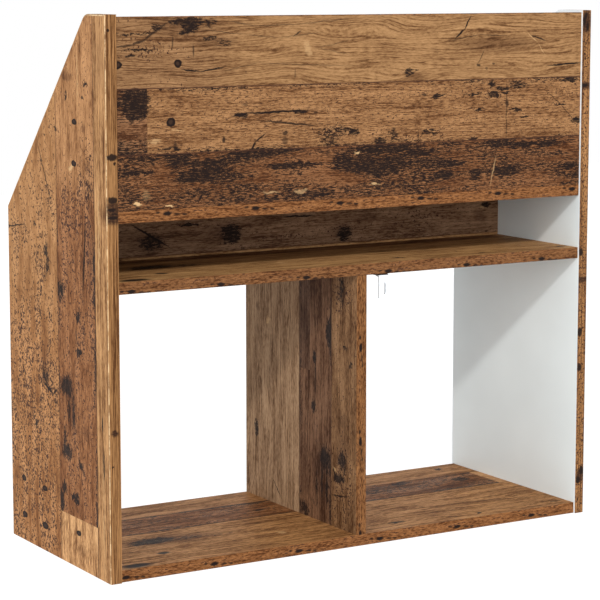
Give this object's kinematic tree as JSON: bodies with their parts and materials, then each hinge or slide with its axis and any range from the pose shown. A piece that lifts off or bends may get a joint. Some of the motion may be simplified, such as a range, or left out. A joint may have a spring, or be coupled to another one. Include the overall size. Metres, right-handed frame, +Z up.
{
  "type": "kids bookcase",
  "caption": "Low children's bookcase with sloping sides, open cubbies below, stepped book pockets in front and a shelf gap at the wall side.",
  "frame": {"origin": "centre of the bounding box's underside, on the floor", "axes": "+X along the width, +Y towards the wall side, +Z up; the front faces -Y"},
  "size_m": [0.735, 0.3, 0.7],
  "materials": {
    "old_planks": "matt laminate printed as old planks, light and brown boards with nail holes",
    "dark_planks": "matt laminate printed as old planks, darker boards",
    "wood_edging": "matt edging printed as wood",
    "white_facing": "smooth white melamine facing",
    "white_painted_steel": "white powder coat",
    "zinc_plated_steel": "zinc plated",
    "beech": "plain beech"
  },
  "bodies": {
    "root": {"left_side_panel": "old_planks", "right_side_panel": "old_planks", "left_facing": "white_facing", "right_facing": "white_facing", "left_side_edging": "wood_edging", "right_side_edging": "wood_edging", "bottom_panel": "dark_planks", "lower_shelf": "dark_planks", "upper_shelf": "dark_planks", "divider_panel": "old_planks", "back_panel": "old_planks", "middle_panel": "dark_planks", "front_rail": "old_planks", "bottom_panel_edging": "wood_edging", "lower_shelf_edging": "wood_edging", "upper_shelf_edging": "wood_edging", "divider_edging": "wood_edging", "back_panel_edging": "wood_edging", "middle_panel_edging": "wood_edging", "front_rail_edging": "wood_edging", "bottom_panel_cams": "zinc_plated_steel", "lower_shelf_cams": "zinc_plated_steel", "upper_shelf_cams": "zinc_plated_steel", "divider_cams": "zinc_plated_steel", "back_panel_cams": "zinc_plated_steel", "middle_panel_cams": "zinc_plated_steel", "front_rail_cams": "zinc_plated_steel", "bottom_panel_bolts": "zinc_plated_steel", "lower_shelf_bolts": "zinc_plated_steel", "upper_shelf_bolts": "zinc_plated_steel", "divider_bolts": "zinc_plated_steel", "back_panel_bolts": "zinc_plated_steel", "middle_panel_bolts": "zinc_plated_steel", "front_rail_bolts": "zinc_plated_steel", "bottom_panel_dowels": "beech", "lower_shelf_dowels": "beech", "upper_shelf_dowels": "beech", "divider_dowels": "beech", "back_panel_dowels": "beech", "middle_panel_dowels": "beech", "front_rail_dowels": "beech", "wall_bracket": "white_painted_steel", "bracket_screw": "zinc_plated_steel"}
  },
  "joints": []
}
